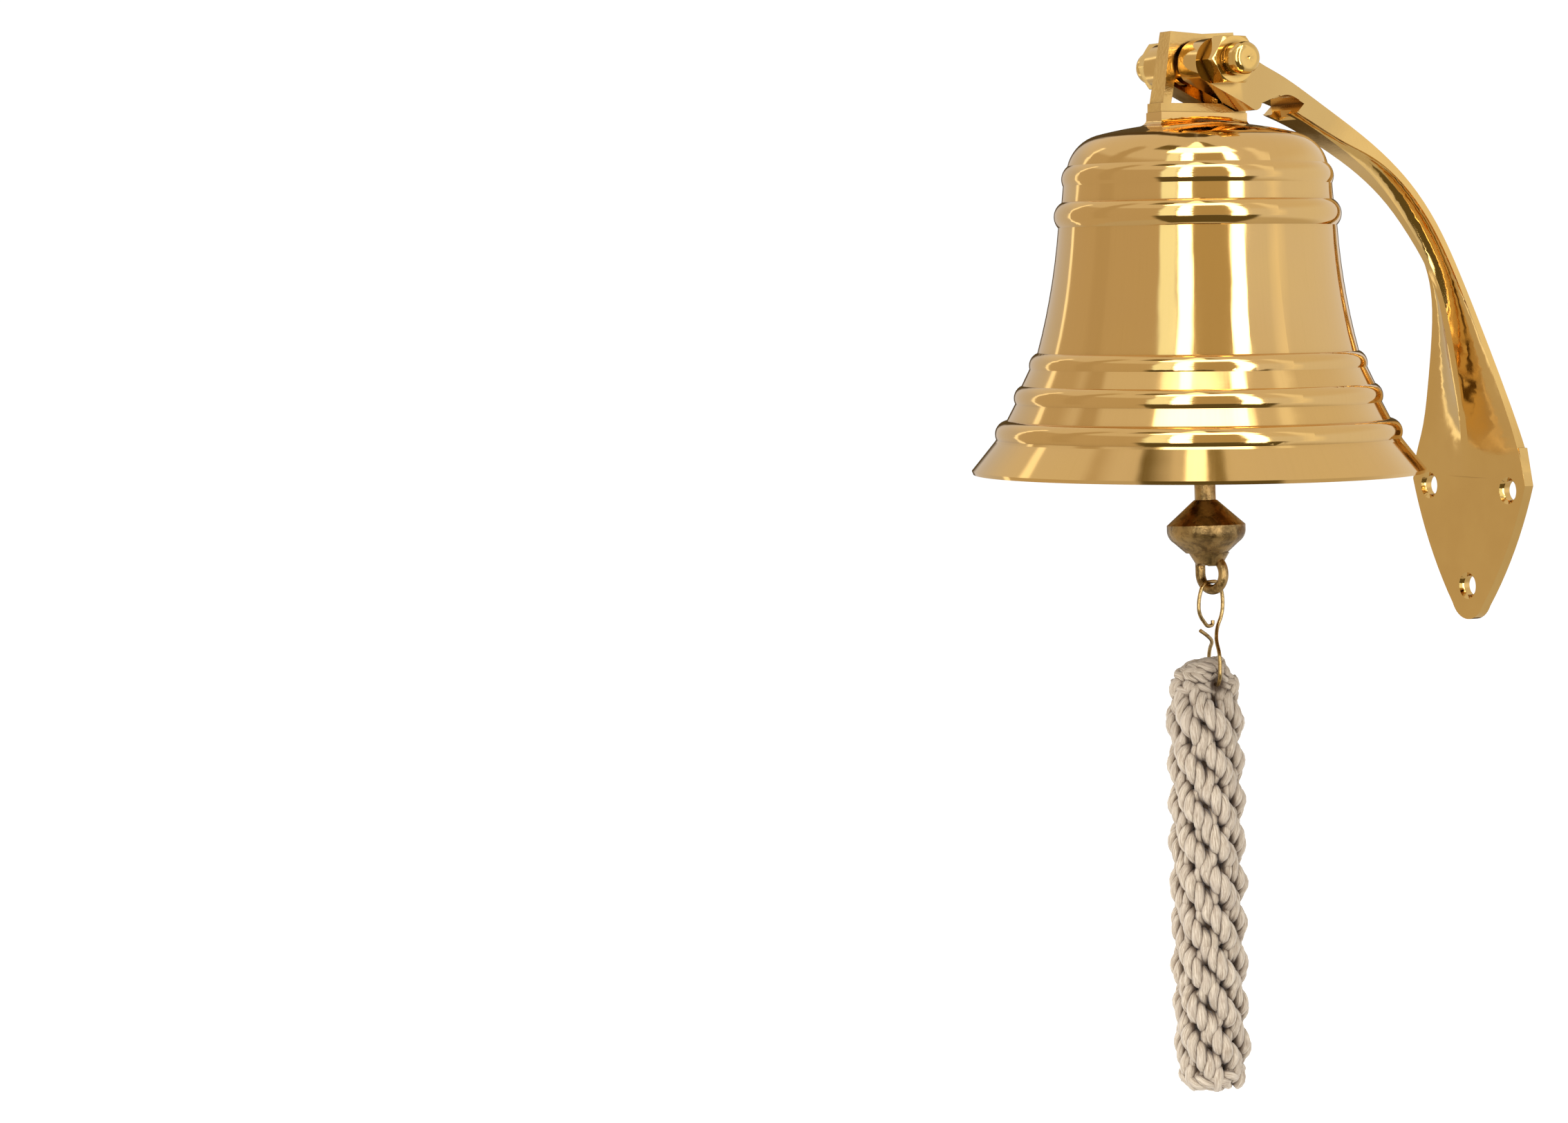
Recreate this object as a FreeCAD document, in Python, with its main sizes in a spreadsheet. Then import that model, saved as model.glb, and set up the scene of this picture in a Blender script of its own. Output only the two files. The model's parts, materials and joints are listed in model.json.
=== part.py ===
import FreeCAD, Part
import math
import os
import re
import Sketcher

# A wall-mounted ship bell in polished brass: a swan-neck bracket whose fork carries the bell on a
# cross stud, a clapper hinged inside the bell, and a plaited lanyard hung from the clapper.
#
# Row frame: +Z up, the wall is the plane y = 0, the bell hangs on the -Y side of it, and the
# origin is midway between the two upper screw holes, on the back face of the wall plate.
# The pieces on the bell's axis are drawn in the bell's own frame, whose origin is the centre of
# the mouth, and are placed as a whole.

SIZES = {
    # where the bell hangs, from the wall plate's origin
    "reach": 116.5,
    "lip_rise": 9.2,
    "pivot_height": 137.2,
    # the bell's outer profile: radius and height above the mouth
    "lip_radius": 76.2,
    "lip_edge_radius": 75.7,
    "lip_edge_height": 1.2,
    "band_three_low_radius": 67.9,
    "band_three_low_height": 11.7,
    "band_three_top_radius": 64.3,
    "band_three_top_height": 18.1,
    "band_two_low_radius": 61.4,
    "band_two_low_height": 23.7,
    "band_two_top_radius": 59.2,
    "band_two_top_height": 29.8,
    "band_one_low_radius": 56.5,
    "band_one_low_height": 35.4,
    "waist_low_radius": 53.8,
    "waist_low_height": 40.8,
    "waist_top_radius": 46.6,
    "waist_top_height": 82.7,
    "bead_two_top_radius": 45.4,
    "bead_two_top_height": 91.2,
    "bead_one_low_radius": 44.9,
    "bead_one_low_height": 96.6,
    "bead_one_top_radius": 43.4,
    "bead_one_top_height": 103.3,
    "shoulder_end_radius": 33.9,
    "shoulder_end_height": 113.4,
    "crown_height": 117.6,
    "band_round": 4.6,
    "bead_round": 5.6,
    "waist_round": 230.0,
    "shoulder_round": 13.7,
    "crown_round": 139.0,
    "groove_depth": 0.5,
    "groove_width": 0.8,
    # the bell's inner profile
    "mouth_inner_radius": 73.2,
    "throat_inner_radius": 49.4,
    "throat_inner_height": 44.0,
    "throat_round": 64.0,
    "neck_inner_radius": 41.6,
    "neck_inner_height": 98.0,
    "shoulder_inner_radius": 29.0,
    "shoulder_inner_height": 109.2,
    "shoulder_inner_round": 12.6,
    "crown_inner_height": 112.2,
    "crown_inner_radius": 11.5,
    "crown_inner_round": 120.0,
    # the cast pad on the crown, and the yoke that stands on it
    "pad_length": 34.0,
    "pad_width": 9.4,
    "pad_top": 120.6,
    "pad_fillet": 2.0,
    "foot_top": 123.6,
    "yoke_width": 8.5,
    "yoke_top_half_width": 3.3,
    "yoke_foot_half_width": 4.25,
    "yoke_foot_half_length": 16.8,
    "leg_foot_half_length": 16.0,
    "leg_top_half_length": 12.4,
    "yoke_top": 147.4,
    "yoke_top_dip": 0.7,
    "window_foot_half_length": 12.8,
    "window_top_half_length": 9.7,
    "window_top": 141.6,
    "window_round": 3.0,
    "saddle_radius": 5.05,
    "tail_radius": 4.0,
    "tail_end": 92.6,
    "tail_hole_radius": 4.2,
    # hardware under the crown
    "washer_radius": 10.0,
    "washer_thickness": 1.6,
    "crown_nut_flats": 13.0,
    "crown_nut_height": 6.5,
    # staple and clapper
    "staple_radius": 6.5,
    "staple_top": 103.6,
    "fork_root": 91.0,
    "fork_gap": 6.6,
    "fork_cheek": 3.2,
    "fork_depth": 11.0,
    "fork_end": 79.8,
    "clapper_pivot": 85.3,
    "clapper_pin_radius": 2.0,
    "clapper_pin_head_radius": 3.4,
    "clapper_pin_head": 1.4,
    "clapper_bore_radius": 2.05,
    "clapper_tongue": 6.0,
    "clapper_tongue_radius": 5.0,
    "rod_radius": 3.55,
    "rod_shoulder": 78.0,
    "rod_tenon_radius": 2.5,
    "rod_tenon_end": -20.0,
    "ball_top": -9.2,
    "ball_top_radius": 3.9,
    "ball_rim_top": -17.6,
    "ball_rim_bottom": -19.6,
    "ball_radius": 13.2,
    "ball_low_radius": 11.0,
    "ball_low": -23.4,
    "ball_round": 5.0,
    "ball_bottom_radius": 7.0,
    "ball_bottom": -27.0,
    "eye_centre": -34.1,
    "eye_turn": -78.0,
    "eye_ring_radius": 5.4,
    "eye_wire_radius": 1.7,
    "eye_neck_radius": 6.8,
    "eye_neck_low_radius": 4.2,
    "eye_neck_end": -31.4,
    # wire hook, in its own plane: the upper loop, the waist and the lower loop turned across it
    "wire_radius": 0.65,
    "hook_turn": 102.0,
    "hook_twist": 122.5,
    "hook_aside": 0.8,
    # pivot stud, cap nuts and spacer washers
    "stud_radius": 5.0,
    "stud_half_length": 22.0,
    "nut_flats": 15.3,
    "nut_corner_radius": 8.8,
    "nut_hex_height": 7.4,
    "nut_chamfer": 1.2,
    "nut_neck_radius": 4.9,
    "nut_neck_length": 1.2,
    "nut_cap_radius": 5.4,
    "nut_length": 15.0,
    "nut_cap_round": 2.4,
    "nut_mark_radius": 0.6,
    "nut_mark_depth": 0.5,
    "spacer_radius": 7.4,
    "spacer_bore_radius": 5.1,
    "spacer_inner_face": 4.05,
    "spacer_thickness": 1.0,
    # bracket fork
    "fork_half_width": 16.0,
    "slot_half_width": 5.2,
    "stud_bore_radius": 5.1,
    "fork_straight": 8.0,
    "fork_rear": 34.0,
    "fork_rear_half_width": 11.0,
    "fork_rear_low": 121.0,
    "fork_rear_top": 128.9,
    "nose_top_lead": 2.8,
    "nose_top_height": 144.56,
    "nose_low_lead": 8.6,
    "nose_low_height": 131.0,
    "nose_round": 8.0,
    "belly_front": 12.6,
    "belly_height": 121.3,
    "belly_round": 2.6,
    "belly_rear": 16.4,
    "belly_rise": 123.4,
    "cheek_rear": 24.5,
    "cheek_rear_height": 126.2,
    "slot_front": 20.0,
    "slot_bottom": 100.0,
    "slot_low_end": 36.6,
    "slot_low_height": 119.8,
    "slot_end": 25.9,
    "slot_bend_height": 131.8,
    "slot_top": 160.0,
    "notch_front": 13.4,
    "notch_bottom": 105.0,
    "notch_lip_height": 120.8,
    "notch_rise": 18.1,
    "notch_rise_height": 123.8,
    "notch_crest": 25.9,
    "notch_crest_height": 126.1,
    "notch_end": 31.5,
    "notch_end_height": 125.8,
    "notch_tip": 36.6,
    "notch_tip_height": 123.7,
    "notch_heel": 33.5,
    "notch_heel_height": 120.6,
    "notch_toe": 28.5,
    "notch_toe_height": 118.9,
    "notch_round": 9.0,
    # how far the clapper leans at rest, and how far its eye is bent towards the wall
    "clapper_lean": 2.8,
    "eye_offset": 1.8,
    # wall plate, from the row origin
    "plate_thickness": 3.6,
    "plate_half_width": 31.8,
    "plate_corner_height": 2.0,
    "plate_shoulder_half_width": 28.4,
    "plate_shoulder_height": 15.0,
    "plate_low_half_width": 8.4,
    "plate_low_height": -41.2,
    "plate_tip_round": 9.4,
    "plate_flank_round": 140.0,
    "screw_spacing": 44.6,
    "screw_drop": 34.5,
    "screw_radius": 3.5,
    "screw_rim_radius": 4.7,
    "screw_rim_depth": 1.2,
    # lanyard
    "lanyard_radius": 13.0,
    "lanyard_top": -62.6,
    "lanyard_bottom": -210.2,
    "lanyard_round": 9.0,
    "lanyard_dome": 12.0,
    "pinch_half_width": 6.0,
    "pinch_height": -76.0,
    "lanyard_hole_height": -71.4,
    "lanyard_hole_offset": 3.5,
    "lanyard_lean": 1.0,
    "lanyard_hole_radius": 2.0,
}

# Stations along the arm's back line, from the fork down to the plate, in the bell's frame: the
# distance behind the stud and the height, then the half width of the flange, the thickness of its
# edge, the half width of the ridge and the full depth.
ARM_SECTIONS = [
    (12.0, 138.6, 14.4, 9.0, 13.0, 10.0),
    (25.0, 133.0, 12.7, 8.4, 10.0, 9.4),
    (34.5, 128.7, 10.7, 7.8, 8.0, 8.6),
    (45.5, 123.1, 8.6, 7.0, 6.2, 7.8),
    (57.0, 116.6, 7.6, 6.0, 5.2, 7.5),
    (70.0, 108.1, 7.1, 3.4, 4.0, 7.2),
    (83.0, 96.9, 7.0, 2.3, 2.4, 7.2),
    (94.5, 82.5, 7.0, 2.1, 1.7, 6.8),
    (103.8, 64.7, 8.0, 2.1, 1.5, 5.4),
    (109.5, 44.5, 13.6, 2.3, 1.6, 5.0),
    (113.2, 25.6, 20.4, 2.6, 1.8, 4.8),
    (115.6, 9.2, 26.6, 3.1, 2.0, 4.4),
    (116.5, -5.2, 30.8, 3.5, 2.2, 3.9),
]

doc = FreeCAD.newDocument("ship_bell")
sheet = doc.addObject("Spreadsheet::Sheet", "Sizes")
for row, (alias, size) in enumerate(SIZES.items(), start=1):
    sheet.set("A%d" % row, alias)
    sheet.set("B%d" % row, str(size))
    sheet.setAlias("B%d" % row, alias)
doc.recompute()

BELL_PLACE = FreeCAD.Vector(0, -SIZES["reach"], SIZES["lip_rise"])
QUARTER_TURN = FreeCAD.Rotation(FreeCAD.Vector(0, 0, 1), 90)
SUB_PARTS = []


# ---------------------------------------------------------------- helpers

def amount(text):
    """The number that a sum of aliases and plain numbers stands for; a term may be "0.5 * alias"."""
    total = 0.0
    term = r"([+-]?)\s*(?:([0-9.]+)\s*\*\s*)?([a-z_]+|[0-9.]+)"
    for sign, factor, word in re.findall(term, str(text)):
        size = SIZES[word] if word in SIZES else float(word)
        size *= float(factor or 1)
        total += -size if sign == "-" else size
    return total


def formula(text):
    """The same sum as an expression on the spreadsheet."""
    return re.sub(r"[a-z][a-z_]*", lambda word: "Sizes." + word.group(), str(text))


def bind(feature, prop, text):
    feature.setExpression(prop, formula(text))


def new_body(name):
    body = doc.addObject("PartDesign::Body", name)
    body.Label = name
    return body


def origin_plane(body, role):
    return next(item for item in body.Origin.OriginFeatures if item.Role == role)


def new_sketch(body, name, role, offset=None):
    """A sketch on one of the body's origin planes, moved along the plane's normal."""
    sketch = body.newObject("Sketcher::SketchObject", name)
    sketch.AttachmentSupport = [(origin_plane(body, role), "")]
    sketch.MapMode = "FlatFace"
    if offset is not None:
        bind(sketch, "AttachmentOffset.Base.z", offset)
    return sketch


def pin_point(sketch, edge, end, across, up):
    """Fix one end of an edge at a place given by the spreadsheet."""
    for kind, place in (("DistanceX", across), ("DistanceY", up)):
        index = sketch.addConstraint(Sketcher.Constraint(kind, -1, 1, edge, end, amount(place)))
        if re.search("[a-z]", str(place)):
            sketch.setExpression("Constraints[%d]" % index, formula(place))


def outline(sketch, corners):
    """A closed outline. Each corner is (across, up) or (across, up, radius): with a radius, the
    edge that leaves the corner is an arc, which bulges to its right when the radius is
    positive and to its left when the radius starts with a minus sign."""
    places = [FreeCAD.Vector(amount(c[0]), amount(c[1]), 0) for c in corners]
    edges = []
    for number, corner in enumerate(corners):
        start = places[number]
        end = places[(number + 1) % len(places)]
        if len(corner) == 2:
            edges.append((sketch.addGeometry(Part.LineSegment(start, end)), False))
            continue
        radius = abs(amount(corner[2]))
        chord = end - start
        half = chord.Length / 2
        sagitta = radius - math.sqrt(radius * radius - half * half)
        right = FreeCAD.Vector(chord.y, -chord.x, 0).normalize()
        if str(corner[2]).startswith("-"):
            right = right * -1
        middle = (start + end) * 0.5 + right * sagitta
        arc = sketch.addGeometry(Part.Arc(start, middle, end))
        forward = sketch.getPoint(arc, 1).distanceToPoint(start) < 1e-6
        index = sketch.addConstraint(Sketcher.Constraint("Radius", arc, radius))
        sketch.setExpression("Constraints[%d]" % index, formula(str(corner[2]).lstrip("-")))
        edges.append((arc, not forward))
    for number, corner in enumerate(corners):
        edge, backward = edges[number]
        before, before_backward = edges[number - 1]
        pin_point(sketch, edge, 2 if backward else 1, corner[0], corner[1])
        sketch.addConstraint(Sketcher.Constraint(
            "Coincident", before, 1 if before_backward else 2, edge, 2 if backward else 1))
    return sketch


def ring_sketch(sketch, *circles):
    """Circles, each (across, up, radius)."""
    for across, up, radius in circles:
        centre = FreeCAD.Vector(amount(across), amount(up), 0)
        circle = sketch.addGeometry(
            Part.Circle(centre, FreeCAD.Vector(0, 0, 1), amount(radius)))
        pin_point(sketch, circle, 3, across, up)
        index = sketch.addConstraint(Sketcher.Constraint("Radius", circle, amount(radius)))
        sketch.setExpression("Constraints[%d]" % index, formula(radius))
    return sketch


def revolve(body, sketch, axis="V_Axis"):
    feature = body.newObject("PartDesign::Revolution", sketch.Name + "_turned")
    feature.Profile = sketch
    feature.ReferenceAxis = (sketch, [axis])
    feature.Angle = 360
    return feature


def pad(body, sketch, length, side="One side", backwards=False):
    feature = body.newObject("PartDesign::Pad", sketch.Name + "_pad")
    feature.Profile = sketch
    bind(feature, "Length", length)
    feature.SideType = side
    feature.Reversed = backwards
    return feature


def round_edges(body, radius, chosen):
    """Fillet the edges of the body whose middle points are the chosen ones."""
    doc.recompute()
    names = []
    for number, edge in enumerate(body.Shape.Edges, start=1):
        middle = edge.valueAt((edge.FirstParameter + edge.LastParameter) / 2)
        if chosen(edge, middle):
            names.append("Edge%d" % number)
    base = body.Tip
    feature = body.newObject("PartDesign::Fillet", "rounded_edges")
    feature.Base = (base, names)
    bind(feature, "Radius", radius)
    return feature


def pocket(body, sketch, length=None, side="One side", backwards=False):
    """Cut the sketch out of the body, and make sure that it removed something."""
    doc.recompute()
    before = body.Shape.Volume
    feature = body.newObject("PartDesign::Pocket", sketch.Name + "_cut")
    feature.Profile = sketch
    feature.SideType = side
    feature.Reversed = backwards
    if length is None:
        feature.Type = "ThroughAll"
    else:
        bind(feature, "Length", length)
    doc.recompute()
    if body.Shape.Volume > before - 1e-3:
        raise RuntimeError(sketch.Name + " cuts nothing")
    return feature


def place(item, position=BELL_PLACE, rotation=None):
    item.Placement = FreeCAD.Placement(position, rotation or FreeCAD.Rotation())
    SUB_PARTS.append(item)
    return item


def boolean(kind, name, base, tool):
    item = doc.addObject("Part::" + kind, name)
    item.Base = base
    item.Tool = tool
    item.Label = name
    return item


# ---------------------------------------------------------------- bell and yoke

def rectangle(across, up):
    """Corners of a rectangle centred on the sketch's origin, with these full sides."""
    return [("-0.5 * " + across, "-0.5 * " + up), ("0.5 * " + across, "-0.5 * " + up),
            ("0.5 * " + across, "0.5 * " + up), ("-0.5 * " + across, "0.5 * " + up)]


def hexagon(flats):
    """Corners of a hexagon across these flats, with two of its corners on the second axis."""
    half = "0.5 * " + flats
    quarter = "0.288675 * " + flats
    corner = "0.57735 * " + flats
    return [(0, "-" + corner), (half, "-" + quarter), (half, quarter),
            (0, corner), ("-" + half, quarter), ("-" + half, "-" + quarter)]


def make_bell_shell():
    body = new_body("bell_shell")
    profile = new_sketch(body, "bell_profile", "XZ_Plane")
    outline(profile, [
        ("mouth_inner_radius", 0),
        ("lip_edge_radius", 0),
        ("lip_radius", "lip_edge_height"),
        ("band_three_low_radius + groove_depth", "band_three_low_height - groove_width"),
        ("band_three_low_radius", "band_three_low_height", "band_round"),
        ("band_three_top_radius", "band_three_top_height"),
        ("band_two_low_radius", "band_two_low_height", "band_round"),
        ("band_two_top_radius", "band_two_top_height"),
        ("band_one_low_radius", "band_one_low_height", "band_round"),
        ("waist_low_radius", "waist_low_height", "-waist_round"),
        ("waist_top_radius", "waist_top_height", "bead_round"),
        ("bead_two_top_radius", "bead_two_top_height"),
        ("bead_one_low_radius", "bead_one_low_height", "bead_round"),
        ("bead_one_top_radius", "bead_one_top_height", "shoulder_round"),
        ("shoulder_end_radius", "shoulder_end_height", "crown_round"),
        (0, "crown_height"),
        (0, "crown_inner_height"),
        ("crown_inner_radius", "crown_inner_height", "-crown_inner_round"),
        ("shoulder_inner_radius", "shoulder_inner_height", "-shoulder_inner_round"),
        ("neck_inner_radius", "neck_inner_height"),
        ("throat_inner_radius", "throat_inner_height", "throat_round"),
    ])
    revolve(body, profile)
    crown_pad = new_sketch(body, "crown_pad", "XY_Plane", "pad_top")
    outline(crown_pad, rectangle("pad_width", "pad_length"))
    pad(body, crown_pad, "pad_top - crown_height + 2", backwards=True)
    round_edges(body, "pad_fillet", lambda edge, middle: abs(middle.x) < SIZES["pad_width"]
                and SIZES["crown_height"] - 2 < middle.z < SIZES["pad_top"] - 1
                and abs(middle.y) < SIZES["pad_length"] and edge.Length > 5)
    tail_hole = new_sketch(body, "tail_hole", "XY_Plane", "pad_top")
    ring_sketch(tail_hole, (0, 0, "tail_hole_radius"))
    pocket(body, tail_hole)
    return place(body)


def make_yoke():
    """A rectangular loop on a foot, whose bar rides on the stud in a shallow saddle."""
    body = new_body("crown_yoke")
    loop = new_sketch(body, "yoke_loop", "YZ_Plane")
    outline(loop, [
        ("-yoke_foot_half_length", "pad_top"),
        ("yoke_foot_half_length", "pad_top"),
        ("yoke_foot_half_length", "foot_top"),
        ("leg_foot_half_length", "foot_top"),
        ("leg_top_half_length", "yoke_top"),
        (0, "yoke_top - yoke_top_dip"),
        ("-leg_top_half_length", "yoke_top"),
        ("-leg_foot_half_length", "foot_top"),
        ("-yoke_foot_half_length", "foot_top"),
    ])
    pad(body, loop, "yoke_width", "Symmetric")
    window = new_sketch(body, "yoke_window", "YZ_Plane")
    outline(window, [
        ("-window_foot_half_length", "foot_top"),
        ("window_foot_half_length", "foot_top"),
        ("window_top_half_length", "window_top - window_round", "window_round"),
        ("window_top_half_length - window_round", "window_top"),
        ("window_round - window_top_half_length", "window_top", "window_round"),
        ("-window_top_half_length", "window_top - window_round"),
    ])
    pocket(body, window, side="Symmetric")
    saddle = new_sketch(body, "yoke_saddle", "YZ_Plane")
    ring_sketch(saddle, (0, "pivot_height", "saddle_radius"))
    pocket(body, saddle, side="Symmetric")
    for side, sign in (("left", "-"), ("right", "")):
        taper = new_sketch(body, "yoke_taper_" + side, "XZ_Plane")
        outline(taper, [
            (sign + "yoke_foot_half_width", "foot_top"),
            (sign + "yoke_width", "foot_top"),
            (sign + "yoke_width", "yoke_top"),
            (sign + "yoke_top_half_width", "yoke_top"),
        ])
        pocket(body, taper, side="Symmetric")
    tail = new_sketch(body, "yoke_tail", "XY_Plane", "pad_top")
    ring_sketch(tail, (0, 0, "tail_radius"))
    pad(body, tail, "pad_top - tail_end", backwards=True)
    return place(body)


def make_crown_washer():
    body = new_body("crown_washer")
    ring = new_sketch(body, "washer_ring", "XY_Plane", "crown_inner_height")
    ring_sketch(ring, (0, 0, "washer_radius"), (0, 0, "tail_radius"))
    pad(body, ring, "washer_thickness", backwards=True)
    return place(body)


def make_crown_nut():
    body = new_body("crown_nut")
    hex_sketch = new_sketch(
        body, "crown_nut_hex", "XY_Plane", "crown_inner_height - washer_thickness")
    outline(hex_sketch, hexagon("crown_nut_flats"))
    ring_sketch(hex_sketch, (0, 0, "tail_radius"))
    pad(body, hex_sketch, "crown_nut_height", backwards=True)
    return place(body)


# ---------------------------------------------------------------- staple and clapper

def make_staple():
    """A barrel screwed on the yoke's tail, with a fork below it for the clapper."""
    body = new_body("clapper_staple")
    barrel = new_sketch(body, "staple_barrel", "XY_Plane", "staple_top")
    ring_sketch(barrel, (0, 0, "staple_radius"))
    pad(body, barrel, "staple_top - fork_root", backwards=True)
    cheeks = new_sketch(body, "staple_cheeks", "YZ_Plane")
    outline(cheeks, [
        ("-0.5 * fork_depth", "clapper_pivot", "0.5001 * fork_depth"),
        ("0.5 * fork_depth", "clapper_pivot"),
        ("0.5 * fork_depth", "fork_root + 1"),
        ("-0.5 * fork_depth", "fork_root + 1"),
    ])
    pad(body, cheeks, "fork_gap + 2 * fork_cheek", "Symmetric")
    gap = new_sketch(body, "staple_gap", "XZ_Plane")
    outline(gap, [
        ("-0.5 * fork_gap", "fork_end - 4"),
        ("0.5 * fork_gap", "fork_end - 4"),
        ("0.5 * fork_gap", "fork_root"),
        ("-0.5 * fork_gap", "fork_root"),
    ])
    pocket(body, gap, side="Symmetric")
    pin_hole = new_sketch(body, "staple_pin_hole", "YZ_Plane")
    ring_sketch(pin_hole, (0, "clapper_pivot", "clapper_pin_radius"))
    pocket(body, pin_hole, side="Symmetric")
    tail_bore = new_sketch(body, "staple_bore", "XY_Plane", "staple_top")
    ring_sketch(tail_bore, (0, 0, "tail_radius"))
    pocket(body, tail_bore, "staple_top - tail_end")
    return place(body, rotation=QUARTER_TURN)


def make_clapper_pin():
    """A rivet across the staple's fork, drawn along its own axis and laid along Y."""
    body = new_body("clapper_pin")
    profile = new_sketch(body, "pin_profile", "XZ_Plane")
    half = "0.5 * fork_gap + fork_cheek"
    outline(profile, [
        (0, "-" + half.replace("+", "-") + " - clapper_pin_head"),
        ("clapper_pin_radius", "-" + half.replace("+", "-") + " - clapper_pin_head"),
        ("clapper_pin_head_radius", "-" + half.replace("+", "-")),
        ("clapper_pin_radius", "-" + half.replace("+", "-")),
        ("clapper_pin_radius", half),
        ("clapper_pin_head_radius", half),
        ("clapper_pin_radius", half + " + clapper_pin_head"),
        (0, half + " + clapper_pin_head"),
    ])
    revolve(body, profile)
    centre = BELL_PLACE + FreeCAD.Vector(0, 0, SIZES["clapper_pivot"])
    return place(body, centre, FreeCAD.Rotation(FreeCAD.Vector(1, 0, 0), 90))


def hang(item, turn=None):
    """Place a piece of the clapper, leaning by its rest angle about the clapper's hinge."""
    hinge = FreeCAD.Vector(0, 0, SIZES["clapper_pivot"])
    lean = FreeCAD.Rotation(FreeCAD.Vector(0, 1, 0), -SIZES["clapper_lean"])
    return place(item, BELL_PLACE + hinge - lean.multVec(hinge), lean * (turn or FreeCAD.Rotation()))


def make_clapper_rod():
    body = new_body("clapper_rod")
    profile = new_sketch(body, "rod_profile", "XZ_Plane")
    outline(profile, [
        (0, "rod_tenon_end"),
        ("rod_tenon_radius", "rod_tenon_end"),
        ("rod_tenon_radius", "ball_top"),
        ("rod_radius", "ball_top"),
        ("rod_radius", "rod_shoulder"),
        ("0.5 * clapper_tongue", "rod_shoulder + 1.2"),
        (0, "rod_shoulder + 1.2"),
    ])
    revolve(body, profile)
    tongue = new_sketch(body, "rod_tongue", "YZ_Plane")
    outline(tongue, [
        ("-0.5 * clapper_tongue", "rod_shoulder"),
        ("0.5 * clapper_tongue", "rod_shoulder"),
        ("clapper_tongue_radius", "clapper_pivot", "1.0001 * clapper_tongue_radius"),
        ("-clapper_tongue_radius", "clapper_pivot"),
    ])
    pad(body, tongue, "clapper_tongue", "Symmetric")
    bore = new_sketch(body, "rod_bore", "YZ_Plane")
    ring_sketch(bore, (0, "clapper_pivot", "clapper_bore_radius"))
    pocket(body, bore, side="Symmetric")
    return hang(body, QUARTER_TURN)


def make_clapper_ball():
    body = new_body("clapper_ball")
    profile = new_sketch(body, "ball_profile", "XZ_Plane")
    outline(profile, [
        ("rod_tenon_radius", "ball_bottom"),
        ("ball_bottom_radius", "ball_bottom"),
        ("ball_low_radius", "ball_low", "ball_round"),
        ("ball_radius", "ball_rim_bottom"),
        ("ball_radius", "ball_rim_top"),
        ("ball_top_radius", "ball_top"),
        ("rod_tenon_radius", "ball_top"),
    ])
    revolve(body, profile)
    return hang(body)


def make_clapper_eye():
    """The eye under the ball, bent a little towards the wall: a ring whose upright sides run up
    into the ball on each side of a neck, with a spigot into the ball."""
    across = FreeCAD.Rotation(FreeCAD.Vector(0, 0, 1), SIZES["eye_turn"]) \
        * FreeCAD.Rotation(FreeCAD.Vector(0, 1, 0), 90)
    through = flat_direction(SIZES["eye_turn"])
    beside = flat_direction(SIZES["eye_turn"] + 90)
    centre = FreeCAD.Vector(0, SIZES["eye_offset"], SIZES["eye_centre"])
    ring = doc.addObject("Part::Torus", "eye_ring")
    bind(ring, "Radius1", "eye_ring_radius")
    bind(ring, "Radius2", "eye_wire_radius")
    bind(ring, "Placement.Base.y", "eye_offset")
    bind(ring, "Placement.Base.z", "eye_centre")
    ring.Placement.Rotation = across
    neck = doc.addObject("Part::Cone", "eye_neck")
    bind(neck, "Radius1", "eye_neck_low_radius")
    bind(neck, "Radius2", "eye_neck_radius")
    bind(neck, "Height", "ball_bottom - eye_neck_end")
    bind(neck, "Placement.Base.y", "0.5 * eye_offset")
    bind(neck, "Placement.Base.z", "eye_neck_end")
    spigot = doc.addObject("Part::Cylinder", "eye_spigot")
    bind(spigot, "Radius", "rod_tenon_radius")
    bind(spigot, "Height", "rod_tenon_end - ball_bottom - 0.4")
    bind(spigot, "Placement.Base.z", "ball_bottom")
    sides = []
    for name, sign in (("near", -1), ("far", 1)):
        upright = doc.addObject("Part::Cylinder", "eye_side_" + name)
        bind(upright, "Radius", "eye_wire_radius")
        bind(upright, "Height", "ball_bottom - eye_centre")
        upright.Placement.Base = centre + beside * (sign * SIZES["eye_ring_radius"])
        sides.append(upright)
    whole = doc.addObject("Part::MultiFuse", "eye_whole")
    whole.Shapes = [ring, neck, spigot] + sides
    hole = doc.addObject("Part::Cylinder", "eye_hole")
    bind(hole, "Radius", "eye_ring_radius - eye_wire_radius")
    hole.Height = 4 * SIZES["eye_neck_radius"]
    hole.Placement = FreeCAD.Placement(centre - through * (2 * SIZES["eye_neck_radius"]), across)
    return hang(boolean("Cut", "clapper_eye", whole, hole))


# ---------------------------------------------------------------- stud, nuts and spacers

def make_stud():
    stud = doc.addObject("Part::Cylinder", "pivot_stud")
    stud.Label = "pivot_stud"
    bind(stud, "Radius", "stud_radius")
    bind(stud, "Height", "2 * stud_half_length")
    start = FreeCAD.Vector(-SIZES["stud_half_length"], 0, SIZES["pivot_height"])
    return place(stud, BELL_PLACE + start, FreeCAD.Rotation(FreeCAD.Vector(0, 1, 0), 90))


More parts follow.
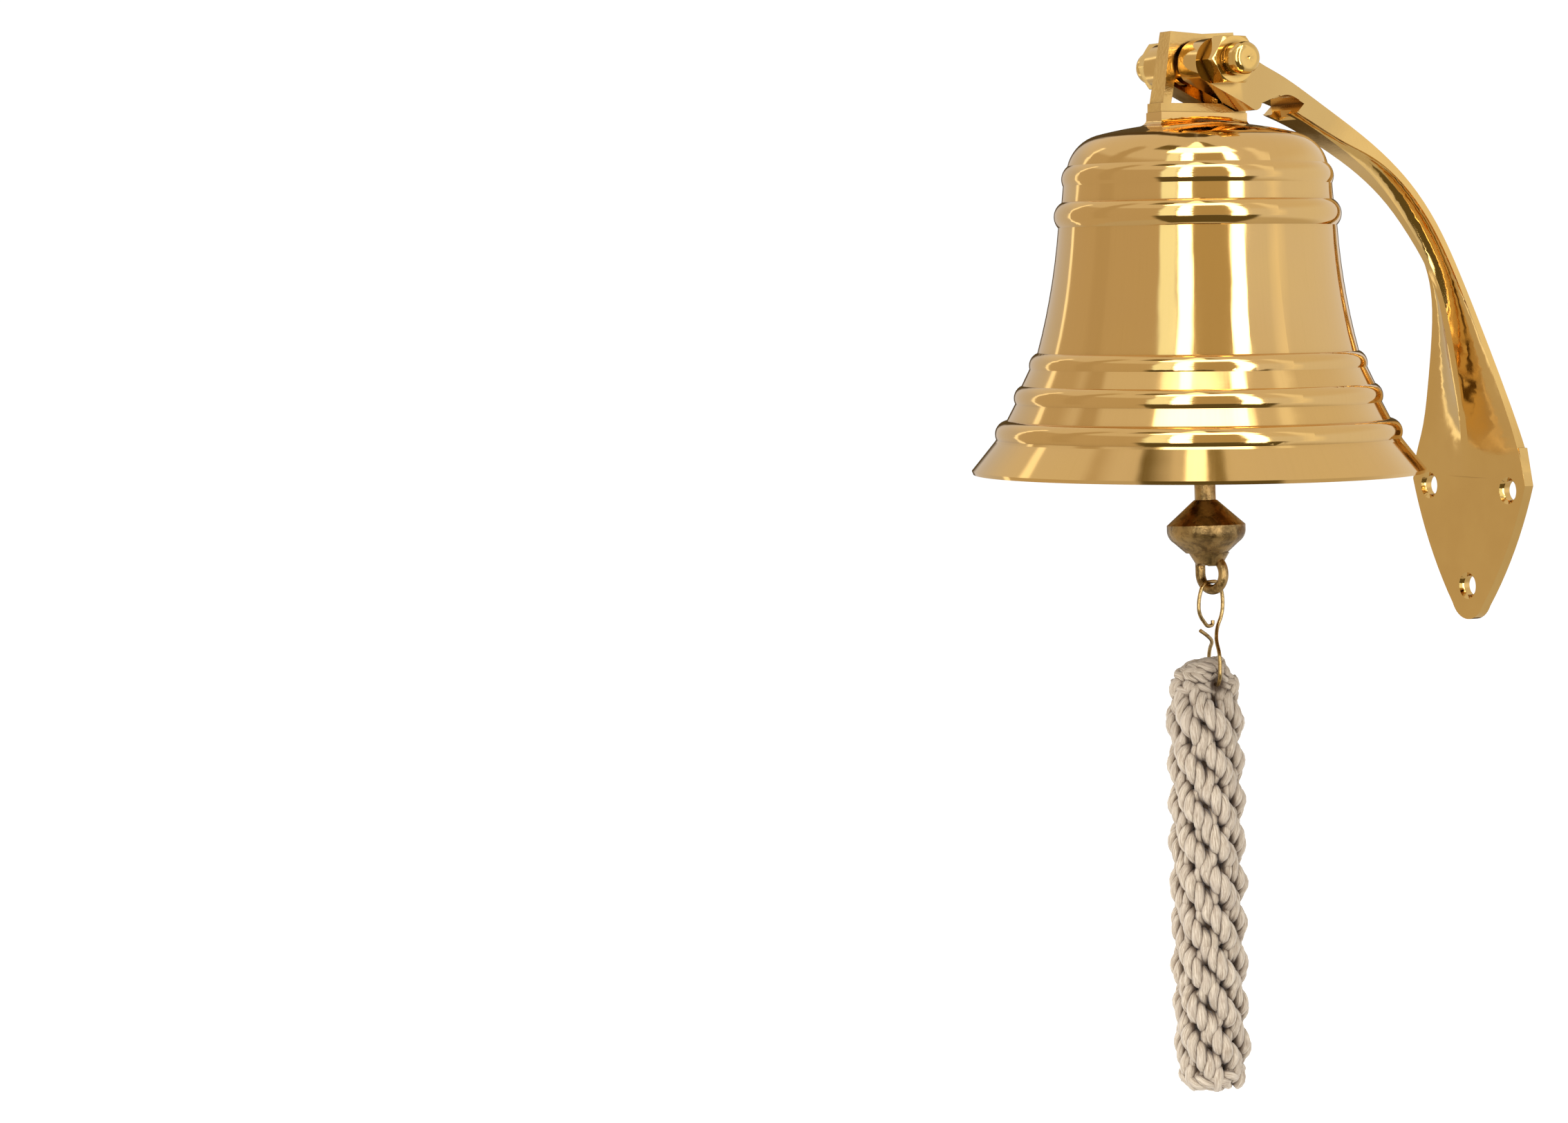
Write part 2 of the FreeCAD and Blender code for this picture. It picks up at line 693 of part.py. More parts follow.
def make_cap_nuts():
    """Two domed nuts, each drawn with its seat at its origin and its cap along +Z."""
    nuts = []
    for side, turn in (("left", -90), ("right", 90)):
        body = new_body("cap_nut_" + side)
        profile = new_sketch(body, "nut_profile_" + side, "XZ_Plane")
        outline(profile, [
            ("stud_radius", 0),
            ("nut_corner_radius - nut_chamfer", 0),
            ("nut_corner_radius", "0.5 * nut_chamfer"),
            ("nut_corner_radius", "nut_hex_height - 0.7 * nut_chamfer"),
            ("nut_corner_radius - nut_chamfer", "nut_hex_height"),
            ("nut_neck_radius", "nut_hex_height"),
            ("nut_neck_radius", "nut_hex_height + nut_neck_length"),
            ("nut_cap_radius", "nut_hex_height + nut_neck_length + 0.5"),
            ("nut_cap_radius", "nut_length - nut_cap_round", "nut_cap_round"),
            ("nut_cap_radius - nut_cap_round", "nut_length"),
            ("nut_mark_radius", "nut_length"),
            (0, "nut_length - nut_mark_depth"),
            (0, "stud_half_length - fork_half_width + 0.4"),
            ("stud_radius", "stud_half_length - fork_half_width + 0.4"),
        ])
        revolve(body, profile)
        flats = new_sketch(body, "nut_flats_" + side, "XY_Plane")
        outline(flats, hexagon("nut_flats"))
        ring_sketch(flats, (0, 0, "nut_corner_radius + 2"))
        pocket(body, flats, "nut_hex_height", backwards=True)
        reach = math.copysign(SIZES["fork_half_width"], turn)
        body.Placement = FreeCAD.Placement(
            FreeCAD.Vector(reach, 0, SIZES["pivot_height"]),
            FreeCAD.Rotation(FreeCAD.Vector(0, 1, 0), turn))
        nuts.append(body)
    pair = doc.addObject("Part::Compound", "cap_nuts")
    pair.Links = nuts
    pair.Label = "cap_nuts"
    return place(pair)


def make_spacer_washers():
    """Two thin washers on the stud, between the yoke and the fork's cheeks."""
    washers = []
    for side, start in (("left", "-slot_half_width + 0.1"), ("right", "spacer_inner_face")):
        outer = doc.addObject("Part::Cylinder", "spacer_rim_" + side)
        bind(outer, "Radius", "spacer_radius")
        bind(outer, "Height", "spacer_thickness")
        inner = doc.addObject("Part::Cylinder", "spacer_bore_" + side)
        bind(inner, "Radius", "spacer_bore_radius")
        bind(inner, "Height", "spacer_thickness")
        washer = boolean("Cut", "spacer_" + side, outer, inner)
        washer.Placement = FreeCAD.Placement(
            FreeCAD.Vector(amount(start), 0, SIZES["pivot_height"]),
            FreeCAD.Rotation(FreeCAD.Vector(0, 1, 0), 90))
        washers.append(washer)
    pair = doc.addObject("Part::Compound", "spacer_washers")
    pair.Links = washers
    pair.Label = "spacer_washers"
    return place(pair)


# ---------------------------------------------------------------- bracket

def arm_section(station, along):
    """A flange with a ridge on its inner side, joined to it by two hollow curves."""
    back_y, back_z, half_width, edge, ridge, depth = station
    along_y, along_z = along.y, along.z

    def point(across, inward):
        return FreeCAD.Vector(across, back_y + along_z * inward, back_z - along_y * inward)

    def hollow(side):
        middle_across = ridge + 0.32 * (half_width - ridge)
        middle_depth = edge + 0.26 * (depth - edge)
        return Part.Arc(point(side * half_width, edge), point(side * middle_across, middle_depth),
                        point(side * ridge, depth)).toShape()

    edges = [
        Part.makeLine(point(-half_width, 0), point(half_width, 0)),
        Part.makeLine(point(half_width, 0), point(half_width, edge)),
        hollow(1),
        Part.makeLine(point(ridge, depth), point(-ridge, depth)),
        hollow(-1),
        Part.makeLine(point(-half_width, edge), point(-half_width, 0)),
    ]
    return Part.Wire(edges)


def make_arm():
    arm = doc.addObject("Part::Feature", "bracket_arm")
    places = [FreeCAD.Vector(0, station[0], station[1]) for station in ARM_SECTIONS]
    back = Part.BSplineCurve()
    back.interpolate(places)
    sections = []
    for station, spot in zip(ARM_SECTIONS, places):
        along = back.tangent(back.parameter(spot))[0]
        sections.append(arm_section(station, along))
    arm.Shape = Part.makeLoft(sections, True, False)
    return arm


def make_fork():
    """Both cheeks in one block: a rounded nose round the stud, and a belly behind it."""
    body = new_body("bracket_fork")
    side_view = new_sketch(body, "fork_side", "YZ_Plane")
    outline(side_view, [
        ("-nose_top_lead", "nose_top_height", "nose_round"),
        ("-nose_low_lead", "nose_low_height"),
        ("belly_front", "belly_height", "belly_round"),
        ("belly_rear", "belly_rise"),
        ("cheek_rear", "cheek_rear_height"),
        ("fork_rear", "fork_rear_low"),
        ("fork_rear", "fork_rear_top"),
    ])
    pad(body, side_view, "2 * fork_half_width", "Symmetric")
    for side, sign in (("left", "-"), ("right", "")):
        taper = new_sketch(body, "fork_taper_" + side, "XY_Plane", "nose_top_height + 10")
        outline(taper, [
            (sign + "fork_half_width", "fork_straight"),
            (sign + "1.25 * fork_half_width", "fork_straight"),
            (sign + "1.25 * fork_half_width", "fork_rear + 4"),
            (sign + "fork_rear_half_width", "fork_rear"),
        ])
        pocket(body, taper)
    return body


def make_plate():
    """The wall plate below the arm: two broad corners and a rounded tip."""
    body = new_body("bracket_plate")
    face = new_sketch(body, "plate_face", "XZ_Plane")
    outline(face, [
        ("-plate_half_width", "plate_corner_height", "plate_flank_round"),
        ("-plate_low_half_width", "plate_low_height", "plate_tip_round"),
        ("plate_low_half_width", "plate_low_height", "plate_flank_round"),
        ("plate_half_width", "plate_corner_height"),
        ("plate_shoulder_half_width", "plate_shoulder_height"),
        ("-plate_shoulder_half_width", "plate_shoulder_height"),
    ])
    pad(body, face, "plate_thickness")
    return body


def make_bracket():
    arm = make_arm()
    arm.Placement = FreeCAD.Placement(BELL_PLACE, FreeCAD.Rotation())
    fork = make_fork()
    fork.Placement = FreeCAD.Placement(BELL_PLACE, FreeCAD.Rotation())
    plate = make_plate()
    casting = doc.addObject("Part::MultiFuse", "bracket_casting")
    casting.Shapes = [arm, fork, plate]
    cutters = []
    slot = new_body("fork_slot_cutter")
    slot_side = new_sketch(slot, "slot_side", "YZ_Plane")
    outline(slot_side, [
        ("-slot_front", "slot_bottom"),
        ("slot_low_end", "slot_bottom"),
        ("slot_low_end", "slot_low_height"),
        ("slot_end", "slot_bend_height"),
        ("slot_end", "slot_top"),
        ("-slot_front", "slot_top"),
    ])
    pad(slot, slot_side, "2 * slot_half_width", "Symmetric")
    slot.Placement = FreeCAD.Placement(BELL_PLACE, FreeCAD.Rotation())
    cutters.append(slot)
    notch = new_body("fork_notch_cutter")
    notch_side = new_sketch(notch, "notch_side", "YZ_Plane")
    outline(notch_side, [
        ("notch_front", "notch_bottom"),
        ("notch_toe", "notch_bottom"),
        ("notch_toe", "notch_toe_height"),
        ("notch_heel", "notch_heel_height"),
        ("notch_tip", "notch_tip_height"),
        ("notch_end", "notch_end_height", "notch_round"),
        ("notch_crest", "notch_crest_height"),
        ("notch_rise", "notch_rise_height", "-notch_round"),
        ("notch_front", "notch_lip_height"),
    ])
    pad(notch, notch_side, "4 * fork_half_width", "Symmetric")
    notch.Placement = FreeCAD.Placement(BELL_PLACE, FreeCAD.Rotation())
    cutters.append(notch)
    bore = doc.addObject("Part::Cylinder", "stud_bore_cutter")
    bind(bore, "Radius", "stud_bore_radius")
    bind(bore, "Height", "4 * fork_half_width")
    bore.Placement = FreeCAD.Placement(
        BELL_PLACE + FreeCAD.Vector(-2 * SIZES["fork_half_width"], 0, SIZES["pivot_height"]),
        FreeCAD.Rotation(FreeCAD.Vector(0, 1, 0), 90))
    cutters.append(bore)
    screw_places = {
        "left": (-SIZES["screw_spacing"] / 2, 0),
        "right": (SIZES["screw_spacing"] / 2, 0),
        "low": (0, -SIZES["screw_drop"]),
    }
    for name, (across, up) in screw_places.items():
        hole = doc.addObject("Part::Cylinder", "screw_hole_" + name)
        bind(hole, "Radius", "screw_radius")
        bind(hole, "Height", "4 * plate_thickness")
        rim = doc.addObject("Part::Cone", "screw_rim_" + name)
        bind(rim, "Radius1", "screw_radius")
        bind(rim, "Radius2", "2 * screw_rim_radius - screw_radius")
        bind(rim, "Height", "2 * screw_rim_depth")
        forward = FreeCAD.Rotation(FreeCAD.Vector(1, 0, 0), 90)
        hole.Placement = FreeCAD.Placement(
            FreeCAD.Vector(across, SIZES["plate_thickness"], up), forward)
        rim_start = SIZES["screw_rim_depth"] - SIZES["plate_thickness"]
        rim.Placement = FreeCAD.Placement(FreeCAD.Vector(across, rim_start, up), forward)
        cutters += [hole, rim]
    wall = doc.addObject("Part::Box", "wall_space")
    bind(wall, "Length", "4 * plate_half_width")
    bind(wall, "Width", "plate_thickness")
    bind(wall, "Height", "4 * plate_half_width")
    wall.Placement.Base = FreeCAD.Vector(-2 * SIZES["plate_half_width"], 0, -60)
    cutters.append(wall)
    tools = doc.addObject("Part::MultiFuse", "bracket_cutters")
    tools.Shapes = cutters
    return place(boolean("Cut", "bracket", casting, tools), FreeCAD.Vector())


# ---------------------------------------------------------------- wire hook and lanyard

def flat_direction(degrees):
    turn = math.radians(degrees)
    return FreeCAD.Vector(math.cos(turn), math.sin(turn), 0)


def rounded_path(corners):
    """Straight runs joined by tangent arcs, each as large as its two runs allow."""
    edges = []
    start = corners[0]
    for before, corner, after in zip(corners, corners[1:], corners[2:]):
        toward = (corner - before).normalize()
        away = (after - corner).normalize()
        turn = toward.getAngle(away)
        trim = 0.45 * min((corner - before).Length, (after - corner).Length)
        radius = trim / math.tan(turn / 2)
        inward = (away - toward).normalize()
        middle = corner + inward * (radius / math.cos(turn / 2) - radius)
        first = corner - toward * trim
        last = corner + away * trim
        edges.append(Part.makeLine(start, first))
        edges.append(Part.Arc(first, middle, last).toShape())
        start = last
    edges.append(Part.makeLine(start, corners[-1]))
    return Part.Wire(edges)


def hook_shift():
    """How far the eye at rest stands off the bell's axis."""
    drop = SIZES["clapper_pivot"] - SIZES["eye_centre"]
    sideways = drop * math.sin(math.radians(SIZES["clapper_lean"]))
    return FreeCAD.Vector(sideways, SIZES["eye_offset"], 0)


def hook_aside():
    """How far the hook's lower loop is bent to one side of its upper loop."""
    return flat_direction(SIZES["hook_turn"] - SIZES["hook_twist"] + 90) * SIZES["hook_aside"]


def make_hook():
    """One bent wire: a loop through the clapper's eye, a waist, and a loop into the lanyard,
    which is turned across the first. Corners are (distance from the axis, height)."""
    up = FreeCAD.Vector(0, 0, 1)
    upper = flat_direction(SIZES["hook_turn"])
    lower = flat_direction(SIZES["hook_turn"] - SIZES["hook_twist"])
    upper_loop = [(0.3, -49.8), (0.3, -51.4), (-2.2, -51.8), (-6.3, -47.4), (-6.3, -42.0),
                  (-4.2, -36.7), (3.6, -36.7), (5.2, -42.4), (4.9, -47.8), (2.2, -52.6)]
    lower_loop = [(2.6, -56.4), (8.4, -61.0), (8.1, -71.4),
                  (-8.1, -71.4), (-8.4, -61.0), (-2.6, -57.0)]
    tail = [(-2.6, -54.6), (-5.6, -52.9)]
    corners = [upper * distance + up * height for distance, height in upper_loop]
    corners += [lower * distance + up * height + hook_aside() for distance, height in lower_loop]
    corners += [upper * distance + up * height for distance, height in tail]
    path = rounded_path(corners)
    start = path.Edges[0].valueAt(path.Edges[0].FirstParameter)
    along = path.Edges[0].tangentAt(path.Edges[0].FirstParameter)
    circle = Part.Wire(Part.makeCircle(SIZES["wire_radius"], start, along))
    hook = doc.addObject("Part::Feature", "lanyard_hook")
    hook.Label = "lanyard_hook"
    hook.Shape = path.makePipeShell([circle], True, False)
    return place(hook, BELL_PLACE + hook_shift())


def make_lanyard():
    """A round sinnet, pinched thin at its top, where the hook passes through it from side to side.
    It is drawn with the hook's lower loop along its own X axis."""
    body = new_body("lanyard")
    profile = new_sketch(body, "lanyard_profile", "XZ_Plane")
    outline(profile, [
        (0, "lanyard_bottom"),
        ("lanyard_radius - lanyard_round", "lanyard_bottom", "lanyard_round"),
        ("lanyard_radius", "lanyard_bottom + lanyard_round"),
        ("lanyard_radius", "lanyard_top - lanyard_dome", "lanyard_dome"),
        ("lanyard_radius - lanyard_dome", "lanyard_top"),
        (0, "lanyard_top"),
    ])
    revolve(body, profile)
    for side, sign in (("front", "-"), ("back", "")):
        pinch = new_sketch(body, "lanyard_pinch_" + side, "XZ_Plane")
        outline(pinch, [
            (sign + "pinch_half_width", "pinch_height"),
            (sign + "2 * lanyard_radius", "pinch_height"),
            (sign + "2 * lanyard_radius", "lanyard_top + 5"),
            (sign + "pinch_half_width", "lanyard_top + 5"),
        ])
        pocket(body, pinch, side="Symmetric")
    hole = new_sketch(body, "lanyard_hole", "YZ_Plane")
    ring_sketch(hole, ("lanyard_hole_offset", "lanyard_hole_height", "lanyard_hole_radius"))
    pocket(body, hole, side="Symmetric")
    across = FreeCAD.Rotation(FreeCAD.Vector(0, 0, 1), SIZES["hook_turn"] - SIZES["hook_twist"])
    turn = across * FreeCAD.Rotation(FreeCAD.Vector(1, 0, 0), SIZES["lanyard_lean"])
    hung_by = FreeCAD.Vector(0, SIZES["lanyard_hole_offset"], SIZES["lanyard_hole_height"])
    hook_height = FreeCAD.Vector(0, 0, SIZES["lanyard_hole_height"])
    hung_from = BELL_PLACE + hook_shift() + hook_aside() + hook_height
    return place(body, hung_from - turn.multVec(hung_by), turn)


for make in (make_bell_shell, make_yoke, make_crown_washer, make_crown_nut, make_staple,
             make_clapper_pin, make_clapper_rod, make_clapper_ball, make_clapper_eye,
             make_stud, make_cap_nuts, make_spacer_washers, make_bracket, make_hook,
             make_lanyard):
    make()
doc.recompute()

for item in doc.Objects:
    if "Invalid" in item.State or "Error" in item.State:
        raise RuntimeError(item.Name + " failed: " + ", ".join(item.State))

os.makedirs("parts", exist_ok=True)
for item in SUB_PARTS:
    if item.Shape.isNull() or not item.Shape.isValid():
        raise RuntimeError(item.Label + " has no valid shape")
    print("%-18s %2d solids %10.1f mm3" % (item.Label, len(item.Shape.Solids), item.Shape.Volume))
    item.Shape.exportStep("parts/%s.step" % item.Label)
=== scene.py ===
import bpy
import json
import math
import random
from mathutils import Matrix, Vector, noise


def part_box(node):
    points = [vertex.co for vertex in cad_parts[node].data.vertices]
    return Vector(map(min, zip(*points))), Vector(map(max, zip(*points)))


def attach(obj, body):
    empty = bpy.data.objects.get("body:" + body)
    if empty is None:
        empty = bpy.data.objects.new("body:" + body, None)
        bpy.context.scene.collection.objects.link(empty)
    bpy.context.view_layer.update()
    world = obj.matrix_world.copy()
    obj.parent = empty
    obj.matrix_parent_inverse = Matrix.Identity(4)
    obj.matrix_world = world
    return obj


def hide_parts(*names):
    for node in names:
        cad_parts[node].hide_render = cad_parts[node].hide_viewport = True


# A brass ship bell on its wall bracket, seen in a white studio. The metal pieces are the CAD's own,
# with finishes and softened edges; the plaited lanyard is built here in place of its plain solid.

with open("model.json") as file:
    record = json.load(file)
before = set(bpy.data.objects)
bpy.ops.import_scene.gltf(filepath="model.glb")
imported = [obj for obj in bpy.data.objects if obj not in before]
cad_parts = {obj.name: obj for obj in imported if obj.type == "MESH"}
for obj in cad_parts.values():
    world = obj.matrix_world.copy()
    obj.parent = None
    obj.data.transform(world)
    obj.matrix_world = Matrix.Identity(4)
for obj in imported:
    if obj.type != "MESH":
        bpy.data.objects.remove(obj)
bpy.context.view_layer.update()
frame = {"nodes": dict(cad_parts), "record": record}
nodes = frame["nodes"]
collection = bpy.context.scene.collection

MM = 0.001

# ---------------------------------------------------------------- places, in metres
shell_low, shell_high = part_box("bell_shell")
AXIS = Vector(((shell_low[0] + shell_high[0]) / 2, (shell_low[1] + shell_high[1]) / 2, 0))
LIP = shell_low[2]
rope_low, rope_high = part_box("lanyard")
FLOOR = rope_low[2] - 0.058

# ---------------------------------------------------------------- camera
CAMERA_AZIMUTH = math.radians(56.77)
CAMERA_DISTANCE = 1.218
CAMERA_RISE = 0.064
CAMERA_ROLL = -0.0114
AIM_SIDE = -0.141
AIM_RISE = -0.0298
LENS = 82.33
AWAY = Vector((math.sin(CAMERA_AZIMUTH), -math.cos(CAMERA_AZIMUTH), 0))
SIDE = Vector((math.cos(CAMERA_AZIMUTH), math.sin(CAMERA_AZIMUTH), 0))


def make_camera():
    data = bpy.data.cameras.new("camera")
    data.sensor_width = 36
    data.lens = LENS
    camera = bpy.data.objects.new("camera", data)
    collection.objects.link(camera)
    foot = AXIS + Vector((0, 0, LIP))
    camera.location = foot + AWAY * CAMERA_DISTANCE + Vector((0, 0, CAMERA_RISE))
    target = foot + SIDE * AIM_SIDE + Vector((0, 0, AIM_RISE))
    look = (target - camera.location).to_track_quat("-Z", "Y")
    camera.rotation_mode = "QUATERNION"
    camera.rotation_quaternion = look @ Matrix.Rotation(CAMERA_ROLL, 3, "Z").to_quaternion()
    bpy.context.scene.camera = camera


# ---------------------------------------------------------------- shader helpers

class Graph:
    """Short calls for making and joining a tree's nodes. A socket may be a number, a colour or
    another node's output."""

    def __init__(self, tree):
        self.tree = tree

    def feed(self, socket, value):
        if isinstance(value, bpy.types.NodeSocket):
            self.tree.links.new(value, socket)
        else:
            socket.default_value = value

    def node(self, kind, inputs=None, **settings):
        made = self.tree.nodes.new(kind)
        for name, value in settings.items():
            setattr(made, name, value)
        for key, value in (inputs or {}).items():
            self.feed(made.inputs[key], value)
        return made

    def math(self, operation, first, second=0.0):
        made = self.node("ShaderNodeMath", {0: first, 1: second}, operation=operation)
        return made.outputs[0]

    def step(self, value, low, high, out_low=0.0, out_high=1.0):
        made = self.node("ShaderNodeMapRange", {"Value": value, "From Min": low, "From Max": high,
                                                "To Min": out_low, "To Max": out_high},
                         interpolation_type="SMOOTHSTEP")
        return made.outputs["Result"]

    def ramp(self, value, low, high, out_low, out_high):
        made = self.node("ShaderNodeMapRange", {"Value": value, "From Min": low, "From Max": high,
                                                "To Min": out_low, "To Max": out_high})
        return made.outputs["Result"]

    def mix(self, factor, first, second, blend="MIX"):
        made = self.node("ShaderNodeMix", data_type="RGBA", blend_type=blend)
        self.feed(made.inputs["Factor"], factor)
        self.feed(made.inputs["A"], first)
        self.feed(made.inputs["B"], second)
        return made.outputs["Result"]

    def noise(self, place, scale, detail=2.0, roughness=0.5, distortion=0.0):
        made = self.node("ShaderNodeTexNoise", {"Vector": place, "Scale": scale, "Detail": detail,
                                                "Roughness": roughness, "Distortion": distortion})
        return made.outputs["Fac"]

    def stretched(self, place, scale):
        made = self.node("ShaderNodeMapping", {"Vector": place, "Scale": scale})
        return made.outputs["Vector"]

    def bump(self, height, strength, distance, normal=None):
        made = self.node("ShaderNodeBump", {"Height": height, "Strength": strength,
                                            "Distance": distance})
        if normal is not None:
            self.feed(made.inputs["Normal"], normal)
        return made.outputs["Normal"]


def rgb(red, green, blue):
    return (red, green, blue, 1)


# ---------------------------------------------------------------- studio

# What stands round the set, as the metal sees it: azimuth in degrees about the bell (0 is behind
# the camera, positive to the camera's right), elevation in degrees, softness of the edges, colour.
SURROUND = [
    ((-178, 178), (24, 90), 10, (0.78, 0.70, 0.60)),
    ((-178, 178), (-90, -28), 8, (0.62, 0.55, 0.45)),
    ((-124, -30), (-40, 34), 3, (0.62, 0.51, 0.37)),
    ((-126, -122), (-30, 40), 1, (1.5, 1.4, 1.2)),
    ((-36, 52), (-64, -14), 3, (0.14, 0.11, 0.05)),
    ((-4, 28), (-14, 60), 2, (0.56, 0.44, 0.26)),
    ((-30, -17), (-14, 52), 1.5, (1.25, 1.35, 1.2)),
    ((-15.5, -4), (-18, 62), 0.8, (6.0, 5.6, 5.0)),
    ((28, 40), (-20, 58), 0.8, (6.0, 5.6, 5.0)),
    ((-34, 46), (50, 66), 2, (5.0, 4.7, 4.2)),
    ((-14, 12), (68, 86), 2, (2.6, 2.4, 2.1)),
    ((12, 34), (68, 86), 2, (0.30, 0.23, 0.11)),
    ((-92, -76), (-16, 60), 4, (0.58, 0.47, 0.33)),
    ((62, 74), (-16, 56), 4, (1.05, 0.98, 0.88)),
    ((-181, -165), (-60, 74), 3, (0.10, 0.065, 0.025)),
    ((167, 181), (-60, 74), 3, (0.10, 0.065, 0.025)),
    ((-60, -30), (58, 72), 3, (0.20, 0.15, 0.06)),
]
SURROUND_BASE = (0.83, 0.79, 0.77)
SURROUND_LEFT = (0.64, 0.60, 0.58)
PAPER_WHITE = 1.04           # the brightness of the plain white room, as everything else sees it


def make_world():
    world = bpy.data.worlds.new("studio")
    bpy.context.scene.world = world
    world.use_nodes = True
    graph = Graph(world.node_tree)
    world.node_tree.nodes.clear()
    place = graph.node("ShaderNodeTexCoord").outputs["Generated"]
    turned = graph.node("ShaderNodeVectorRotate", {"Vector": place,
                                                   "Angle": math.pi / 2 - CAMERA_AZIMUTH},
                        rotation_type="Z_AXIS").outputs["Vector"]
    split = graph.node("ShaderNodeSeparateXYZ", {"Vector": turned})
    azimuth = graph.math("ARCTAN2", split.outputs["Y"], split.outputs["X"])
    azimuth = graph.math("MULTIPLY", azimuth, math.degrees(1))
    elevation = graph.math("ARCSINE", split.outputs["Z"])
    elevation = graph.math("MULTIPLY", elevation, math.degrees(1))
    wobble = graph.noise(place, 9.0, 2.0)
    azimuth = graph.math("ADD", azimuth, graph.ramp(wobble, 0.3, 0.7, -1.2, 1.2))
    colour = graph.mix(graph.step(azimuth, -60, 30), rgb(*SURROUND_LEFT), rgb(*SURROUND_BASE))
    for (left, right), (low, high), soft, tint in SURROUND:
        mask = graph.math("MULTIPLY", graph.step(azimuth, left - soft, left + soft),
                          graph.step(azimuth, right - soft, right + soft, 1.0, 0.0))
        tall = graph.math("MULTIPLY", graph.step(elevation, low - soft, low + soft),
                          graph.step(elevation, high - soft, high + soft, 1.0, 0.0))
        colour = graph.mix(graph.math("MULTIPLY", mask, tall), colour, rgb(*tint))
    mirrored = graph.node("ShaderNodeLightPath").outputs["Is Glossy Ray"]
    colour = graph.mix(mirrored, rgb(PAPER_WHITE, PAPER_WHITE, PAPER_WHITE), colour)
    background = graph.node("ShaderNodeBackground", {"Color": colour, "Strength": 1.0})
    output = graph.node("ShaderNodeOutputWorld")
    graph.feed(output.inputs["Surface"], background.outputs[0])


def make_light(name, azimuth, elevation, distance, size, watts):
    """A soft box, aimed at the middle of the bell; the metal doesn't mirror it."""
    data = bpy.data.lights.new(name, "AREA")
    data.shape = "DISK"
    data.size = size
    data.energy = watts
    light = bpy.data.objects.new(name, data)
    collection.objects.link(light)
    turn = math.radians(azimuth)
    flat = AWAY * math.cos(turn) + SIDE * math.sin(turn)
    rise = math.radians(elevation)
    centre = AXIS + Vector((0, 0, LIP))
    toward = flat * math.cos(rise) + Vector((0, 0, math.sin(rise)))
    light.location = centre + toward * distance
    light.rotation_mode = "QUATERNION"
    light.rotation_quaternion = (-toward).to_track_quat("-Z", "Y")
    light.visible_glossy = False
    light.visible_camera = False


def make_floor():
    half = 40.0
    mesh = bpy.data.meshes.new("floor")
    mesh.from_pydata([(-half, -half, FLOOR), (half, -half, FLOOR), (half, half, FLOOR),
                      (-half, half, FLOOR)], [], [(0, 1, 2, 3)])
    floor = bpy.data.objects.new("floor", mesh)
    collection.objects.link(floor)
    material = bpy.data.materials.new("floor")
    material.use_nodes = True
    graph = Graph(material.node_tree)
    shader = material.node_tree.nodes["Principled BSDF"]
    place = graph.node("ShaderNodeTexCoord").outputs["Object"]
    tone = graph.mix(graph.noise(place, 6.0, 3.0), rgb(0.975, 0.975, 0.975),
                     rgb(0.985, 0.985, 0.985))
    graph.feed(shader.inputs["Base Color"], tone)
    graph.feed(shader.inputs["Roughness"], 0.9)
    graph.feed(shader.inputs["Specular IOR Level"], 0.0)
    mesh.materials.append(material)
    floor.visible_glossy = False


# ---------------------------------------------------------------- finishes

def new_material(name):
    material = bpy.data.materials.new(name)
    material.use_nodes = True
    graph = Graph(material.node_tree)
    return material, graph, material.node_tree.nodes["Principled BSDF"]


def brass_tint(graph, place, tones, scale):
    """Two close tones of the alloy, drifting over the surface."""
    drift = graph.noise(place, scale, 3.0, 0.6)
    return graph.mix(graph.step(drift, 0.35, 0.65), rgb(*tones[0]), rgb(*tones[1]))


def paint_groove_shade(graph, tint, reach, most):
    """Painted shade: darkens the colour in grooves up to reach metres deep, where ambient occlusion
    finds them hollow.
    """
    hollow = graph.node("ShaderNodeAmbientOcclusion", {"Distance": reach}, samples=8)
    amount = graph.step(hollow.outputs["AO"], 0.50, 0.93, most, 0.0)
    return graph.mix(amount, tint, rgb(0.22, 0.12, 0.035))


